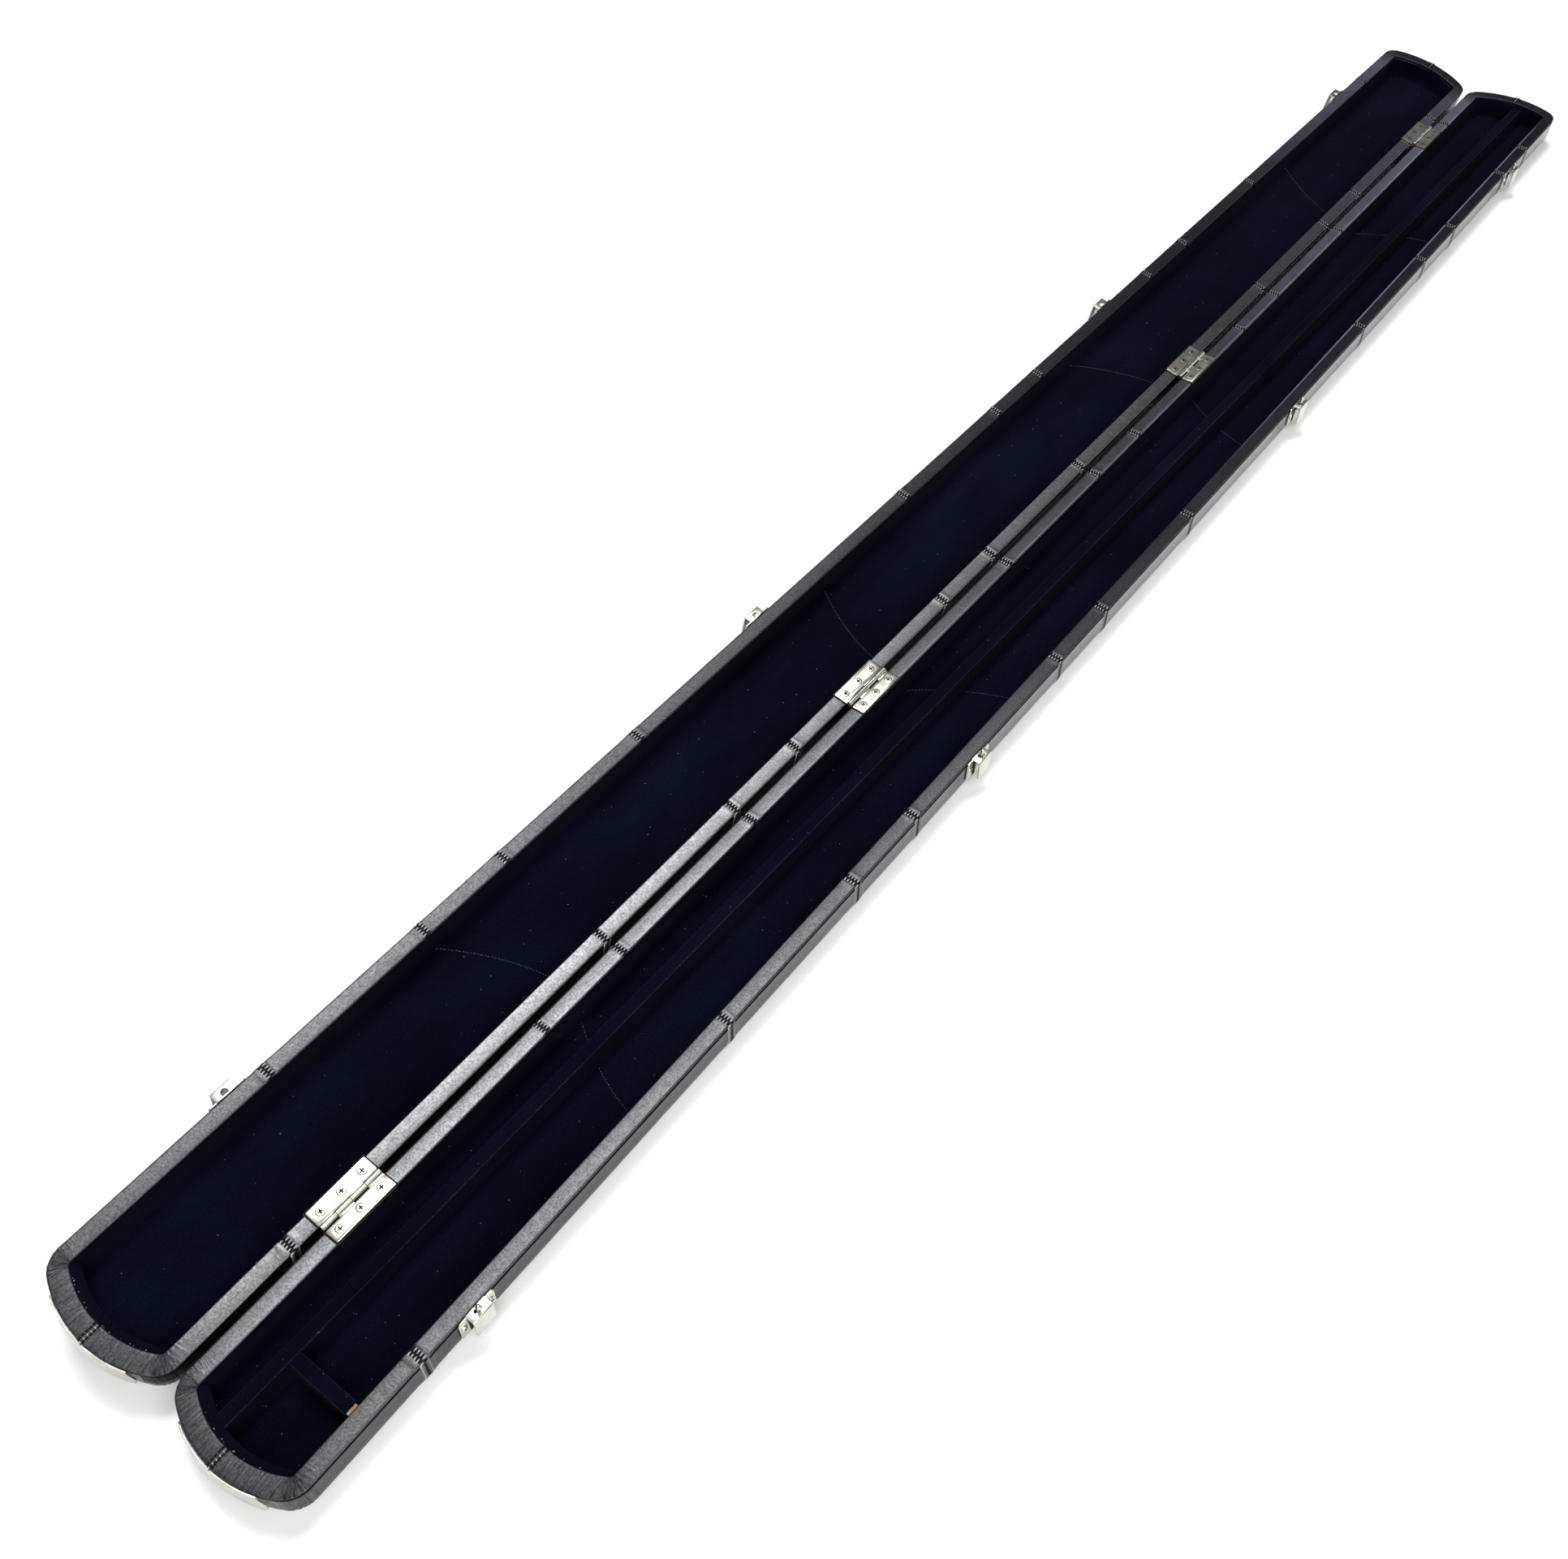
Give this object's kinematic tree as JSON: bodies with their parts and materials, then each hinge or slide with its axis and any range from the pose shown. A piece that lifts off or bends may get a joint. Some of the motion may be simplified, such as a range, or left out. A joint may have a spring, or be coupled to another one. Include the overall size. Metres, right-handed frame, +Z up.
{
  "type": "cue case",
  "caption": "Long slim hinged case with bowed ends, velvet-lined trays, a slanting divider and spring catches, for carrying full-length cues.",
  "frame": {"origin": "centre of the base tray's flat underside, on the table", "axes": "+Y along the case towards the tip end, +X from the hinges to the base tray's latches, +Z up; the lid lies open on the -X side"},
  "size_m": [0.1809, 1.5478, 0.0417],
  "materials": {
    "leather": "worn patchwork hide, semi-matt grain",
    "velvet": "dark navy velvet pile",
    "wood": "plain light softwood and plywood",
    "bare_wood": "bare sawn wood",
    "nickel": "bright nickel plate, lightly worn",
    "pin_steel": "drawn steel"
  },
  "bodies": {
    "base": {"base_floor_board": "wood", "base_hinge_rail": "wood", "base_latch_rail": "wood", "base_butt_block": "wood", "base_tip_block": "wood", "base_leather_bottom": "leather", "base_leather_sides": "leather", "base_velvet_lining": "velvet", "base_end_plate": "nickel", "long_divider": "wood", "long_divider_velvet": "velvet", "cross_divider": "bare_wood", "cross_divider_velvet": "velvet", "hinge_1_base_leaf": "nickel", "hinge_1_pin": "pin_steel", "hinge_2_base_leaf": "nickel", "hinge_2_pin": "pin_steel", "hinge_3_base_leaf": "nickel", "hinge_3_pin": "pin_steel", "hinge_4_base_leaf": "nickel", "hinge_4_pin": "pin_steel", "latch_1_base_hood": "nickel", "latch_1_spring": "pin_steel", "latch_2_base_hood": "nickel", "latch_2_spring": "pin_steel", "latch_3_base_hood": "nickel", "latch_3_spring": "pin_steel", "latch_4_base_hood": "nickel", "latch_4_spring": "pin_steel"},
    "lid": {"lid_floor_board": "wood", "lid_hinge_rail": "wood", "lid_latch_rail": "wood", "lid_butt_block": "wood", "lid_tip_block": "wood", "lid_leather_bottom": "leather", "lid_leather_sides": "leather", "lid_velvet_lining": "velvet", "lid_end_plate": "nickel", "hinge_1_lid_leaf": "nickel", "hinge_2_lid_leaf": "nickel", "hinge_3_lid_leaf": "nickel", "hinge_4_lid_leaf": "nickel", "latch_1_lid_hood": "nickel", "latch_2_lid_hood": "nickel", "latch_3_lid_hood": "nickel", "latch_4_lid_hood": "nickel"},
    "catch_1": {"latch_1_catch": "nickel"},
    "catch_2": {"latch_2_catch": "nickel"},
    "catch_3": {"latch_3_catch": "nickel"},
    "catch_4": {"latch_4_catch": "nickel"}
  },
  "joints": [
    {"name": "lid_hinge", "type": "hinge", "parent": "base", "child": "lid", "pos_m": [-0.0428, 0, 0.02565], "axis": [0, 1, 0], "range_deg": [0, 169]},
    {"name": "catch_1_slide", "type": "slide", "parent": "base", "child": "catch_1", "axis": [-1, 0, 0], "range_m": [0, 0.0007], "stiffness_N_per_m": 2000, "springref_m": -0.0005},
    {"name": "catch_2_slide", "type": "slide", "parent": "base", "child": "catch_2", "axis": [-1, 0, 0], "range_m": [0, 0.0007], "stiffness_N_per_m": 2000, "springref_m": -0.0005},
    {"name": "catch_3_slide", "type": "slide", "parent": "base", "child": "catch_3", "axis": [-1, 0, 0], "range_m": [0, 0.0007], "stiffness_N_per_m": 2000, "springref_m": -0.0005},
    {"name": "catch_4_slide", "type": "slide", "parent": "base", "child": "catch_4", "axis": [-1, 0, 0], "range_m": [0, 0.0007], "stiffness_N_per_m": 2000, "springref_m": -0.0005}
  ]
}
